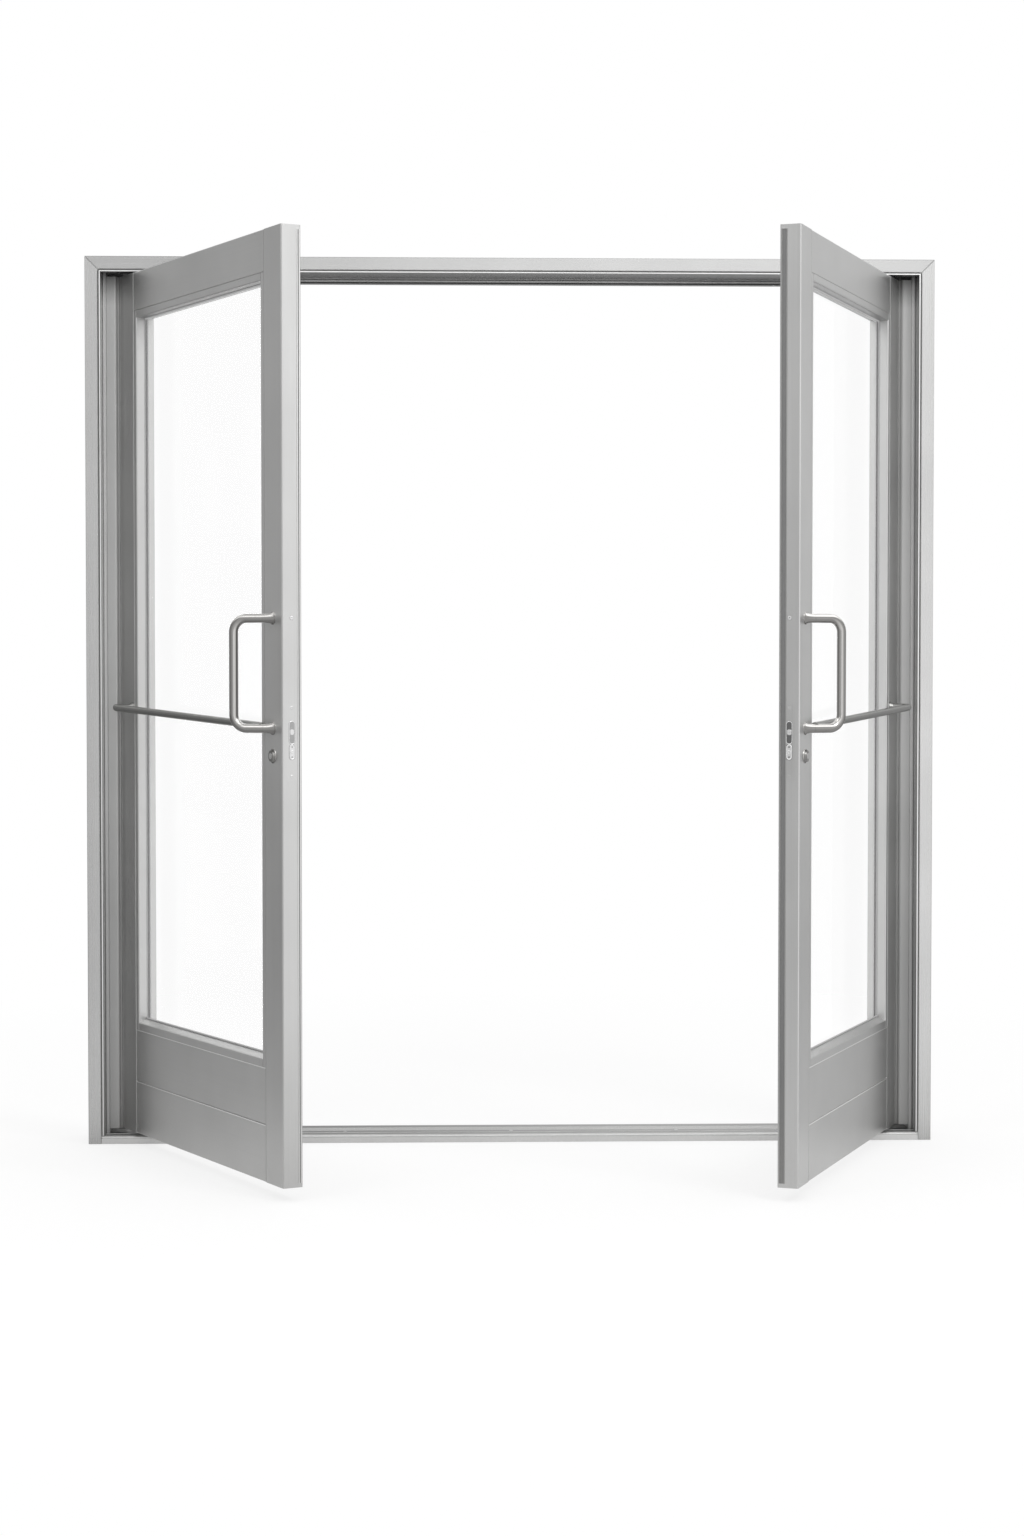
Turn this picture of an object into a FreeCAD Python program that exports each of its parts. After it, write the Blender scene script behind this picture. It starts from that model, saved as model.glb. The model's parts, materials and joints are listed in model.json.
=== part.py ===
import FreeCAD, Part
import math
import os
from FreeCAD import Vector

# A pair of all-glass aluminium entrance doors in their frame. Millimetres, Z up from the floor,
# X to the right, Y from the front of the frame to its back. The origin is the middle of the
# threshold's underside. Each leaf is drawn closed, with its hinge pin on the Z axis, and is
# then swung open and moved to its pin.

# Frame as a whole
frame_width = 1970.0
frame_height = 2057.0
frame_depth = 139.7

# Frame extrusion, the same for jambs and head: face, then a groove, then a lip at the opening
frame_face = 30.0
frame_groove = 2.5
frame_lip = 3.0
groove_depth = 3.5
frame_wall = 3.2
frame_round = 1.5
jamb_joint = 0.3
mitre_joint = 0.2
mitre_groove_depth = 1.2

# A corner under this radius is drawn as a straight edge break, a larger one as an arc
smallest_arc = 2.5

# Hinge-side liner, which steps in from the jamb behind the reveal; its front lies before the pin
liner_lead = 12.0
liner_thickness = 9.5
liner_wall = 2.0
liner_round = 1.5

# Door stops behind the closed leaves, and their seals
stop_clearance = 8.0
stop_depth = 16.25
side_stop_lap = 12.5
head_stop_drop = 10.0
stop_wall = 2.4
stop_round = 1.0
seal_stand = 3.0
seal_width = 4.0
seal_inset = 0.5

# Threshold
threshold_height = 19.05
threshold_nose = 16.0
threshold_bevel = 4.0
threshold_line_rise = 3.0
threshold_line_height = 2.0
threshold_line_depth = 2.0
threshold_skin = 3.5
threshold_foot = 24.0
threshold_toe = 12.0
drip_start = 24.0
drip_width = 9.0
drip_depth = 3.0
flute_count = 5
flute_first = 62.0
flute_pitch = 9.0
flute_width = 4.0
flute_depth = 1.5

# Continuous hinge: a round shaft on the leaf turns in a C-shaped barrel on the frame
hinge_offset = 18.0
shaft_radius = 4.5
shaft_clearance = 0.05
barrel_wall = 2.95
hinge_plate = 3.0
hinge_plate_length = 46.0
slot_margin_deg = 6.0
swing_deg = 90.0

# Leaves
leaf_thickness = 44.45
leaf_setback = 11.0
leaf_top_gap = 5.0
leaf_bottom_gap = 9.5
meeting_gap = 12.0
stile_width = 88.9
top_rail_height = 88.9
bottom_rail_half = 120.6
leaf_wall = 3.2
leaf_round = 2.0
left_open_deg = 63.0
right_open_deg = 68.0

# Glazing
glass_thickness = 6.35
glass_edge_gap = 3.0
glass_setback = 2.5
gasket_thickness = 2.0
gasket_stand = 0.6
gasket_inset = 1.0
glazing_stop_face = 16.0
glazing_stop_slope = 9.0
glazing_stop_wall = 1.8
glazing_stop_round = 3.0
stop_joint = 0.3

# Pull handle, offset at 45 degrees towards the glass
pull_radius = 9.5
pull_centres = 228.6
pull_base_height = 981.0
pull_backset = 46.0
pull_reach = 61.5
pull_bend = 29.0
foot_radius = 12.6
foot_rim = 2.0
foot_taper = 12.0

# Push bar, from an elbow on the hinge stile down to the foot of the pull
bar_radius = 8.0
bar_stile_inset = 75.0
bar_stand = 47.0
bar_rise = 31.0
bar_lock_rise = 5.0
bar_lock_stand = 16.0
bar_bend = 18.0
bar_flange_radius = 12.0
bar_flange_rim = 2.0
bar_flange_height = 7.0

# Lock
cylinder_drop = 57.0
cylinder_radius = 14.0
cylinder_nose_radius = 11.5
cylinder_stand = 6.0
plate_height = 158.0
plate_width = 25.4
plate_thickness = 2.0
plate_rise = 29.0
bolt_slot_height = 34.0
bolt_slot_width = 11.0
bolt_slot_rise = 56.0

# Meeting edge strips, one on each leaf
strip_stand = 1.5
left_strip_width = 7.0
right_strip_width = 13.0
strip_end_gap = 9.0
strip_inset = 0.8

# Sizes that follow
frame_sight = frame_face + frame_groove + frame_lip
soffit_height = frame_height - frame_sight
front_y = -frame_depth / 2.0
back_y = frame_depth / 2.0
pin_y = back_y - stop_depth - stop_clearance - leaf_thickness - leaf_setback
pin_x = -frame_width / 2.0 + frame_sight + liner_thickness + hinge_offset
bore_radius = shaft_radius + shaft_clearance
barrel_radius = bore_radius + barrel_wall
leaf_edge = hinge_plate / 2.0
leaf_width = -pin_x - meeting_gap / 2.0 - leaf_edge
leaf_front = leaf_setback
leaf_back = leaf_setback + leaf_thickness
leaf_bottom = threshold_height + leaf_bottom_gap
leaf_top = soffit_height - leaf_top_gap
lock_edge = leaf_edge + leaf_width
glass_left = leaf_edge + stile_width
glass_right = lock_edge - stile_width
glass_bottom = leaf_bottom + 2.0 * bottom_rail_half
glass_top = leaf_top - top_rail_height
glass_front = leaf_front + (leaf_thickness - glass_thickness) / 2.0 + glass_setback
glass_back = glass_front + glass_thickness
outer_stop_back = glass_front - gasket_thickness
inner_stop_front = glass_back + gasket_thickness
side_stop_front = leaf_back + stop_clearance
back_local = back_y - pin_y
pull_x = lock_edge - pull_backset
bar_lock_height = pull_base_height + bar_lock_rise
bar_hinge_height = bar_lock_height + bar_rise
cylinder_height = pull_base_height - cylinder_drop


def corner_arc(before, corner, after, radius):
    """The rounded corner: where its arc starts, its middle and where it ends."""
    to_before = (before - corner).normalize()
    to_after = (after - corner).normalize()
    half = to_before.getAngle(to_after) / 2.0
    reach = radius / math.tan(half)
    bisector = (to_before + to_after).normalize()
    middle = corner + bisector * (radius / math.sin(half) - radius)
    return corner + to_before * reach, middle, corner + to_after * reach


def rounded_path(points, radii, closed):
    """A wire of straight runs, with an arc or an edge break at each point that has a radius."""
    count = len(points)
    edges = []
    arcs = []
    for index, point in enumerate(points):
        is_end = not closed and index in (0, count - 1)
        if radii[index] > 0.0 and not is_end:
            arcs.append(corner_arc(points[index - 1], point, points[(index + 1) % count], radii[index]))
        else:
            arcs.append((point, point, point))
    for index, (start, middle, end) in enumerate(arcs):
        if start != end and radii[index] < smallest_arc:
            edges.append(Part.makeLine(start, end))
        elif start != end:
            edges.append(Part.Arc(start, middle, end).toShape())
        if index + 1 < count or closed:
            following = arcs[(index + 1) % count][0]
            if end.distanceToPoint(following) > 1e-6:
                edges.append(Part.makeLine(end, following))
    return Part.Wire(edges)


def upright(a, b):
    """Places a section in plan: a is X, b is Y."""
    return Vector(a, b, 0.0)


def crosswise(a, b):
    """Places a section seen from the end of a rail: a is Y, b is Z."""
    return Vector(0.0, a, b)


def fronting(a, b):
    """Places an outline seen from the front: a is X, b is Z."""
    return Vector(a, 0.0, b)


def outline(corners, place):
    """A closed wire from corners (a, b, radius)."""
    points = [place(a, b) for a, b, radius in corners]
    return rounded_path(points, [radius for a, b, radius in corners], True)


def extrude(wires, start, run):
    """An extrusion whose first wire is the outside and whose others are its hollows."""
    face = Part.makeFace(wires, "Part::FaceMakerBullseye")
    face.translate(start)
    return face.extrude(run)


def box_corners(a0, b0, a1, b1, radius=0.0):
    """The four corners of a rectangle, all with one radius."""
    return [(a0, b0, radius), (a1, b0, radius), (a1, b1, radius), (a0, b1, radius)]


def tube(a0, b0, a1, b1, wall, radius, place, start, run):
    """A rectangular hollow extrusion."""
    outside = outline(box_corners(a0, b0, a1, b1, radius), place)
    inside = outline(box_corners(a0 + wall, b0 + wall, a1 - wall, b1 - wall), place)
    return extrude([outside, inside], start, run)


def block(x0, y0, z0, x1, y1, z1):
    """A plain box between two corners."""
    return Part.makeBox(x1 - x0, y1 - y0, z1 - z0, Vector(x0, y0, z0))


def revolved(profile, base, axis):
    """A turned piece: profile holds (distance along the axis, radius)."""
    side = Vector(0.0, 0.0, 1.0)
    points = [base + axis * along + side * radius for along, radius in profile]
    face = Part.Face(Part.makePolygon(points + [points[0]]))
    return face.revolve(base, axis, 360.0)


def bent_rod(points, bend, radius):
    """A round rod that follows a path with arcs of one radius at its bends."""
    path = rounded_path(points, [bend] * len(points), False)
    heading = (points[1] - points[0]).normalize()
    circle = Part.Wire(Part.makeCircle(radius, points[0], heading))
    return path.makePipeShell([circle], True, True)


def mirrored(shape):
    """The same piece for the other hand."""
    return shape.mirror(Vector(0.0, 0.0, 0.0), Vector(1.0, 0.0, 0.0))


def frame_section(place):
    """The frame extrusion: a from its outer edge to the opening, b from front to back."""
    groove_start = frame_face
    groove_end = frame_face + frame_groove
    rim = frame_round
    outside = [
        (0.0, 0.0, rim), (groove_start, 0.0, rim), (groove_start, groove_depth, 0.0),
        (groove_end, groove_depth, 0.0), (groove_end, 0.0, rim), (frame_sight, 0.0, rim),
        (frame_sight, frame_depth, rim), (0.0, frame_depth, rim),
    ]
    inside = box_corners(
        frame_wall, frame_wall + groove_depth, frame_sight - frame_wall, frame_depth - frame_wall)
    return [outline(outside, place), outline(inside, place)]


def mitre_wedge(side):
    """Cuts the top left mitre: side 1 takes away what is above the line, -1 what is below it."""
    reach = frame_sight + frame_depth
    corner_x = -frame_width / 2.0
    base_x = corner_x - side * mitre_joint / 2.0
    base_z = frame_height - side * mitre_joint / 2.0
    corners = [
        (base_x - reach, base_z + reach, 0.0), (base_x + reach, base_z - reach, 0.0),
        (base_x + side * reach, base_z + side * reach, 0.0),
    ]
    return extrude(
        [outline(corners, fronting)], Vector(0.0, -frame_depth, 0.0), Vector(0.0, 2.0 * frame_depth, 0.0))


def mitre_grooves():
    """Square bars, set on edge along the top left mitre, that break its edges front and back."""
    side = mitre_groove_depth * math.sqrt(2.0)
    length = 2.0 * frame_depth
    bars = []
    for y in (front_y, back_y):
        bar = Part.makeBox(length, side, side, Vector(-length / 2.0, -side / 2.0, -side / 2.0))
        bar.rotate(Vector(0.0, 0.0, 0.0), Vector(1.0, 0.0, 0.0), 45.0)
        bar.rotate(Vector(0.0, 0.0, 0.0), Vector(0.0, 1.0, 0.0), 45.0)
        bar.translate(Vector(-frame_width / 2.0, y, frame_height))
        bars.append(bar)
    return bars


def left_jamb():
    """The left upright, mitred at the top and standing on the floor; its lip stops on the threshold."""
    start = Vector(-frame_width / 2.0, front_y, 0.0)
    bar = extrude(frame_section(upright), start, Vector(0.0, 0.0, frame_height))
    notch = block(
        -frame_width / 2.0 + frame_face, front_y - frame_depth, -threshold_height,
        -frame_width / 2.0 + frame_sight + frame_face, back_y + frame_depth, threshold_height)
    return bar.cut([mitre_wedge(1), notch] + mitre_grooves())


def head():
    """The top member, mitred at both ends."""
    def hanging(a, b):
        return Vector(0.0, b, -a)
    start = Vector(-frame_width / 2.0, front_y, frame_height)
    bar = extrude(frame_section(hanging), start, Vector(frame_width, 0.0, 0.0))
    cutters = [mitre_wedge(-1)] + mitre_grooves()
    return bar.cut(cutters + [mirrored(cutter) for cutter in cutters])


def threshold():
    """The saddle between the jambs: bevelled, fluted on top, ribbed underneath, a line along its front."""
    half = frame_width / 2.0 - frame_face - jamb_joint
    top = threshold_height
    drip_end = drip_start + drip_width
    line_low = threshold_nose - threshold_line_rise
    line_high = line_low + threshold_line_height
    corners = [
        (0.0, 0.0, 0.0), (0.0, line_low, 0.0), (threshold_line_depth, line_low, 0.0),
        (threshold_line_depth, line_high, 0.0), (0.0, line_high, 0.0),
        (0.0, threshold_nose, 0.5), (threshold_bevel, top, 1.0),
        (drip_start, top, 0.5), (drip_start, top - drip_depth, 0.0),
        (drip_end, top - drip_depth, 0.0), (drip_end, top, 0.5),
    ]
    for index in range(flute_count):
        at = flute_first + index * flute_pitch
        corners += [
            (at, top, 0.0), (at + flute_depth, top - flute_depth, 0.0),
            (at + flute_width - flute_depth, top - flute_depth, 0.0), (at + flute_width, top, 0.0),
        ]
    corners += [(frame_depth - threshold_bevel, top, 1.0), (frame_depth, threshold_nose, 0.5), (frame_depth, 0.0, 0.0)]
    rise = top - threshold_skin - drip_depth
    middle = frame_depth / 2.0
    toe = threshold_bevel + threshold_toe
    corners += [
        (frame_depth - toe, 0.0, 0.0), (frame_depth - toe, rise, 1.0),
        (middle + threshold_foot / 2.0, rise, 1.0), (middle + threshold_foot / 2.0, 0.0, 0.0),
        (middle - threshold_foot / 2.0, 0.0, 0.0), (middle - threshold_foot / 2.0, rise, 1.0),
        (toe, rise, 1.0), (toe, 0.0, 0.0),
    ]
    return extrude([outline(corners, crosswise)], Vector(-half, front_y, 0.0), Vector(2.0 * half, 0.0, 0.0))


def at_left_pin(shape):
    """Moves a fixed piece drawn about the left pin to its place."""
    shape.translate(Vector(pin_x, pin_y, 0.0))
    return shape


def jamb_liner():
    """The hollow strip on the jamb that carries the hinge and the stop."""
    return tube(
        -hinge_offset - liner_thickness, -liner_lead, -hinge_offset, back_local,
        liner_wall, liner_round, upright,
        Vector(0.0, 0.0, threshold_height), Vector(0.0, 0.0, soffit_height - threshold_height))


def side_stop():
    """The upright stop that the leaf's hinge side closes towards."""
    return tube(
        -hinge_offset, side_stop_front, leaf_edge + side_stop_lap, back_local,
        stop_wall, stop_round, upright, Vector(0.0, 0.0, threshold_height),
        Vector(0.0, 0.0, soffit_height - head_stop_drop - threshold_height))


def side_stop_seal():
    """The seal along the side stop, facing the leaf."""
    far = leaf_edge + side_stop_lap - seal_inset
    section = [
        (far - seal_width, side_stop_front, 0.0), (far - seal_width, side_stop_front - seal_stand, 1.0),
        (far, side_stop_front - seal_stand, 1.0), (far, side_stop_front, 0.0),
    ]
    return extrude(
        [outline(section, upright)], Vector(0.0, 0.0, threshold_height),
        Vector(0.0, 0.0, soffit_height - head_stop_drop - threshold_height))


def head_stop():
    """The stop under the head, from liner to liner."""
    half = -(pin_x - hinge_offset)
    return tube(
        pin_y + side_stop_front, soffit_height - head_stop_drop, back_y, soffit_height,
        stop_wall, stop_round, crosswise, Vector(-half, 0.0, 0.0), Vector(2.0 * half, 0.0, 0.0))


def head_stop_seal():
    """The seal along the head stop, between the side stops' seals."""
    half = -(pin_x - hinge_offset)
    face = pin_y + side_stop_front
    low = soffit_height - head_stop_drop + seal_inset
    section = [
        (face, low, 0.0), (face - seal_stand, low, 1.0),
        (face - seal_stand, low + seal_width, 1.0), (face, low + seal_width, 0.0),
    ]
    return extrude([outline(section, crosswise)], Vector(-half, 0.0, 0.0), Vector(2.0 * half, 0.0, 0.0))


def leaf_run():
    """Start and run of what is as tall as a leaf."""
    return Vector(0.0, 0.0, leaf_bottom), Vector(0.0, 0.0, leaf_top - leaf_bottom)


def hinge_barrel():
    """The hinge half on the frame: C-shaped barrel, flat front cover and a plate on the liner."""
    start, run = leaf_run()
    ring = extrude([Part.Wire(Part.makeCircle(barrel_radius))], start, run)
    cover = extrude(
        [outline(box_corners(-hinge_offset, -barrel_radius, 0.0, -barrel_radius + hinge_plate), upright)],
        start, run)
    plate = extrude(
        [outline(box_corners(-hinge_offset, -barrel_radius, -hinge_offset + hinge_plate, hinge_plate_length),
                 upright)], start, run)
    body = ring.fuse([cover, plate])
    bore = extrude([Part.Wire(Part.makeCircle(bore_radius))], start, run)
    web_deg = math.degrees(math.asin(hinge_plate / 2.0 / bore_radius))
    low = math.radians(90.0 - swing_deg - web_deg - slot_margin_deg)
    high = math.radians(90.0 + web_deg + slot_margin_deg)
    reach = 3.0 * barrel_radius
    slot = [
        (0.0, 0.0, 0.0), (reach * math.cos(low), reach * math.sin(low), 0.0), (reach, reach, 0.0),
        (reach * math.cos(high), reach * math.sin(high), 0.0),
    ]
    return body.cut([bore, extrude([outline(slot, upright)], start, run)]).removeSplitter()


def hinge_shaft():
    """The hinge half on the leaf: a round shaft with a plate down the leaf's edge."""
    start, run = leaf_run()
    shaft = extrude([Part.Wire(Part.makeCircle(shaft_radius))], start, run)
    plate = extrude(
        [outline(box_corners(-hinge_plate / 2.0, 0.0, hinge_plate / 2.0, leaf_back - leaf_round), upright)],
        start, run)
    return shaft.fuse(plate).removeSplitter()


def hinge_stile():
    """The stile at the hinge, hollow and open at its ends."""
    start, run = leaf_run()
    return tube(leaf_edge, leaf_front, glass_left, leaf_back, leaf_wall, leaf_round, upright, start, run)


def lock_stile():
    """The stile at the meeting edge, recessed for the lock's face plate."""
    start, run = leaf_run()
    bar = tube(glass_right, leaf_front, lock_edge, leaf_back, leaf_wall, leaf_round, upright, start, run)
    return bar.cut(lock_plate_blank())


def rail(low, high):
    """A hollow rail between the stiles."""
    return tube(
        leaf_front, low, leaf_back, high, leaf_wall, leaf_round, crosswise,
        Vector(glass_left, 0.0, 0.0), Vector(glass_right - glass_left, 0.0, 0.0))


def glass():
    """One sheet, held at its edges between the gaskets."""
    return block(
        glass_left + glass_edge_gap, glass_front, glass_bottom + glass_edge_gap,
        glass_right - glass_edge_gap, glass_back, glass_top - glass_edge_gap)


def gasket_ring(y0, y1, low_extra):
    """The gasket round one side of the glass."""
    low = glazing_stop_face + gasket_stand
    outer = box_corners(
        glass_left + gasket_inset, glass_bottom + gasket_inset, glass_right - gasket_inset,
        glass_top - gasket_inset)
    inner = box_corners(
        glass_left + low, glass_bottom + low + low_extra, glass_right - low, glass_top - low, 1.0)
    return extrude(
        [outline(outer, fronting), outline(inner, fronting)], Vector(0.0, y0, 0.0), Vector(0.0, y1 - y0, 0.0))


def glazing_gaskets():
    """Both gaskets, one on each side of the glass."""
    front = gasket_ring(glass_front - gasket_thickness, glass_front, glazing_stop_slope)
    return Part.makeCompound([front, gasket_ring(glass_back, glass_back + gasket_thickness, 0.0)])


def glazing_stop(flat, deep, face, slope):
    """Section of a glazing stop: flat is its outer face, deep the side against the gasket."""
    wall = glazing_stop_wall if deep > flat else -glazing_stop_wall
    inner = abs(wall)
    outside = [(0.0, flat, 0.0), (face, flat, glazing_stop_round), (face + slope, deep, 0.0), (0.0, deep, 0.0)]
    lean = slope * inner / abs(deep - flat)
    inside = [
        (inner, flat + wall, 0.0), (face + lean - inner, flat + wall, 0.0),
        (face + slope - lean - inner, deep - wall, 0.0), (inner, deep - wall, 0.0),
    ]
    return outside, inside


def glazing_stops(flat, deep, bottom_slope):
    """Four hollow stops round the glass: full-height sides with top and bottom between them."""
    tall = Vector(0.0, 0.0, glass_top - glass_bottom)
    side_width = glazing_stop_face + stop_joint
    across = Vector(glass_right - glass_left - 2.0 * side_width, 0.0, 0.0)
    upright_sections = glazing_stop(flat, deep, glazing_stop_face, 0.0)
    bottom_sections = glazing_stop(flat, deep, glazing_stop_face, bottom_slope)

    def facing_right(a, b):
        return Vector(glass_left + a, b, glass_bottom)

    def facing_left(a, b):
        return Vector(glass_right - a, b, glass_bottom)

    def facing_up(a, b):
        return Vector(glass_left + side_width, b, glass_bottom + a)

    def facing_down(a, b):
        return Vector(glass_left + side_width, b, glass_top - a)

    none = Vector(0.0, 0.0, 0.0)
    bars = [
        extrude([outline(part, facing_right) for part in upright_sections], none, tall),
        extrude([outline(part, facing_left) for part in upright_sections], none, tall),
        extrude([outline(part, facing_up) for part in bottom_sections], none, across),
        extrude([outline(part, facing_down) for part in upright_sections], none, across),
    ]
    return Part.makeCompound(bars)


def behind_face():
    """Everything behind the leaf's outer face, to trim what stands on that face."""
    return block(0.0, leaf_front, 0.0, lock_edge, leaf_front + frame_depth, frame_height)


def flared_foot(base, heading, rod_radius, radius, rim, taper):
    """The flare round the end of a rod, turned about the rod's own axis."""
    profile = [
        (-2.0 * radius, 0.0), (-2.0 * radius, radius), (rim, radius), (rim + taper, rod_radius),
        (rim + taper, 0.0),
    ]
    return revolved(profile, base, heading)


def pull_handle():
    """The tubular pull: two legs at 45 degrees to the face, and an upright grip."""
    out = Vector(-pull_reach, -pull_reach, 0.0)
    sink = Vector(pull_radius, pull_radius, 0.0) * 2.0
    foot = Vector(pull_x, leaf_front, pull_base_height)
    crown = foot + Vector(0.0, 0.0, pull_centres)
    rod = bent_rod([foot + sink, foot + out, crown + out, crown + sink], pull_bend, pull_radius)
    heading = Vector(-1.0, -1.0, 0.0).normalize()
    feet = [
        flared_foot(end, heading, pull_radius, foot_radius, foot_rim, foot_taper) for end in (foot, crown)]
    return rod.fuse(feet).cut(behind_face()).removeSplitter()


def push_bar(pull):
    """The rising bar: an elbow on the hinge stile at one end, coped to the pull at the other."""
    elbow_x = leaf_edge + bar_stile_inset
    foot = Vector(elbow_x, leaf_front + bar_radius, bar_hinge_height)
    elbow = Vector(elbow_x, leaf_front - bar_stand, bar_hinge_height)
    end = Vector(pull_x - bar_lock_stand, leaf_front - bar_lock_stand, bar_lock_height)
    rod = bent_rod([foot, elbow, end], bar_bend, bar_radius)
    base = flared_foot(
        Vector(elbow_x, leaf_front, bar_hinge_height), Vector(0.0, -1.0, 0.0), bar_radius,
        bar_flange_radius, bar_flange_rim, bar_flange_height)
    trimmed = rod.fuse(base).cut(behind_face()).cut(pull)
    return max(trimmed.Solids, key=lambda solid: solid.Volume).removeSplitter()


def lock_cylinder(face_y, outward):
    """A turned lock cylinder with its tapered collar."""
    profile = [
        (0.0, 0.0), (0.0, cylinder_radius), (cylinder_stand, cylinder_nose_radius), (cylinder_stand, 0.0),
    ]
    return revolved(profile, Vector(pull_x, face_y, cylinder_height), Vector(0.0, outward, 0.0))


def lock_plate_blank():
    """The flush face plate before it is cut, which is also its recess in the stile."""
    middle = (leaf_front + leaf_back) / 2.0
    centre = cylinder_height + plate_rise
    return block(
        lock_edge - plate_thickness, middle - plate_width / 2.0, centre - plate_height / 2.0,
        lock_edge, middle + plate_width / 2.0, centre + plate_height / 2.0)


def lock_plate():
    """The face plate with its bolt slot."""
    middle = (leaf_front + leaf_back) / 2.0
    centre = cylinder_height + bolt_slot_rise
    slot = block(
        lock_edge - 2.0 * plate_thickness, middle - bolt_slot_width / 2.0, centre - bolt_slot_height / 2.0,
        lock_edge + plate_thickness, middle + bolt_slot_width / 2.0, centre + bolt_slot_height / 2.0)
    rounded = slot.makeFillet(
        bolt_slot_width / 2.0 - 0.1, [edge for edge in slot.Edges if abs(edge.tangentAt(0.0).x) > 0.9])
    return lock_plate_blank().cut(rounded)


def meeting_strip(width):
    """The strip along the meeting edge, on the side of the leaf's inner face."""
    far = leaf_back - leaf_round - strip_inset
    section = [
        (lock_edge, far - width, 0.0), (lock_edge + strip_stand, far - width, 0.5),
        (lock_edge + strip_stand, far, 0.5), (lock_edge, far, 0.0),
    ]
    return extrude(
        [outline(section, upright)], Vector(0.0, 0.0, leaf_bottom + strip_end_gap),
        Vector(0.0, 0.0, leaf_top - leaf_bottom - 2.0 * strip_end_gap))


def leaf_pieces(strip_width):
    """All pieces of one leaf, closed, left hand, with the pin on the Z axis."""
    pull = pull_handle()
    middle = leaf_bottom + bottom_rail_half
    return {
        "hinge_stile": hinge_stile(),
        "lock_stile": lock_stile(),
        "top_rail": rail(glass_top, leaf_top),
        "bottom_rail_lower": rail(leaf_bottom, middle),
        "bottom_rail_upper": rail(middle, glass_bottom),
        "glass": glass(),
        "glazing_gaskets": glazing_gaskets(),
        "outer_glazing_stops": glazing_stops(leaf_front, outer_stop_back, glazing_stop_slope),
        "inner_glazing_stops": glazing_stops(leaf_back, inner_stop_front, 0.0),
        "hinge_shaft": hinge_shaft(),
        "pull_handle": pull,
        "push_bar": push_bar(pull),
        "outer_lock_cylinder": lock_cylinder(leaf_front, -1.0),
        "inner_lock_cylinder": lock_cylinder(leaf_back, 1.0),
        "lock_face_plate": lock_plate(),
        "meeting_strip": meeting_strip(strip_width),
    }


def fixed_pieces():
    """All pieces of the frame."""
    pieces = {
        "left_jamb": left_jamb(),
        "head": head(),
        "threshold": threshold(),
        "head_stop": head_stop(),
        "head_stop_seal": head_stop_seal(),
        "left_jamb_liner": at_left_pin(jamb_liner()),
        "left_side_stop": at_left_pin(side_stop()),
        "left_side_stop_seal": at_left_pin(side_stop_seal()),
        "left_hinge_barrel": at_left_pin(hinge_barrel()),
    }
    for name in [name for name in pieces if name.startswith("left_")]:
        pieces[name.replace("left_", "right_")] = mirrored(pieces[name])
    return pieces


def placed_leaf(pieces, side):
    """Swings a leaf open and moves it to its pin; the right leaf is mirrored first."""
    placed = {}
    for name, shape in pieces.items():
        moved = shape if side == "left" else mirrored(shape)
        opening = -left_open_deg if side == "left" else right_open_deg
        moved.rotate(Vector(0.0, 0.0, 0.0), Vector(0.0, 0.0, 1.0), opening)
        moved.translate(Vector(pin_x if side == "left" else -pin_x, pin_y, 0.0))
        placed[side + "_" + name] = moved
    return placed


def main():
    os.makedirs("parts", exist_ok=True)
    pieces = fixed_pieces()
    pieces.update(placed_leaf(leaf_pieces(left_strip_width), "left"))
    pieces.update(placed_leaf(leaf_pieces(right_strip_width), "right"))
    for name, shape in pieces.items():
        if not shape.isValid():
            print("not valid:", name)
        shape.exportStep("parts/" + name + ".step")
        print(name, len(shape.Solids), round(shape.Volume / 1000.0, 1))


main()
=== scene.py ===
import json
import math
import bpy
import numpy as np
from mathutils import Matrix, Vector


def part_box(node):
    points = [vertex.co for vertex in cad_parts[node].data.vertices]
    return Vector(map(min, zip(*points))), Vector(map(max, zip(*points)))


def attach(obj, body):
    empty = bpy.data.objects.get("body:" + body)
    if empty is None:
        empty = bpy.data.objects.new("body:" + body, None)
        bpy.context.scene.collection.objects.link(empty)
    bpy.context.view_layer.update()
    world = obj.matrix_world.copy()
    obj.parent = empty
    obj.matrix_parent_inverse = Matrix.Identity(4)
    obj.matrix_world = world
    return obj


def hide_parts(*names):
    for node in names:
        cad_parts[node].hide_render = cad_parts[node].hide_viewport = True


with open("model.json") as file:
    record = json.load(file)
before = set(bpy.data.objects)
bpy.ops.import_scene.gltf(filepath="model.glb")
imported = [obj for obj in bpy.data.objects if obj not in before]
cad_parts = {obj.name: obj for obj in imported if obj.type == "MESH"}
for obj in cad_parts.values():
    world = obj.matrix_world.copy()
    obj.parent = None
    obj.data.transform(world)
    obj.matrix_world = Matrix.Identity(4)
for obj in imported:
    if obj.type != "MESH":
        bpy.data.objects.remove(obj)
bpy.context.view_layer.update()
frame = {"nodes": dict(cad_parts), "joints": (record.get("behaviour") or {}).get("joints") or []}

nodes = frame["nodes"]
print("frame loaded:", len(nodes), "nodes")

# Leaf measures repeated from the part's source, in millimetres, for a leaf drawn closed with
# its pin on the Z axis, x towards the lock edge and y towards the back
leaf = {"pinX": -922.0, "pinY": -9.85, "lockEdge": 916.0, "front": 11.0, "back": 55.45,
        "bottom": 28.55, "top": 2016.5, "hingeEdge": 1.5, "stile": 88.9, "wall": 3.2}
openDegrees = {joint["name"].split("_")[0]: -joint["range_deg"][0] for joint in frame["joints"]}
sides = ("left", "right")


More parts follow.
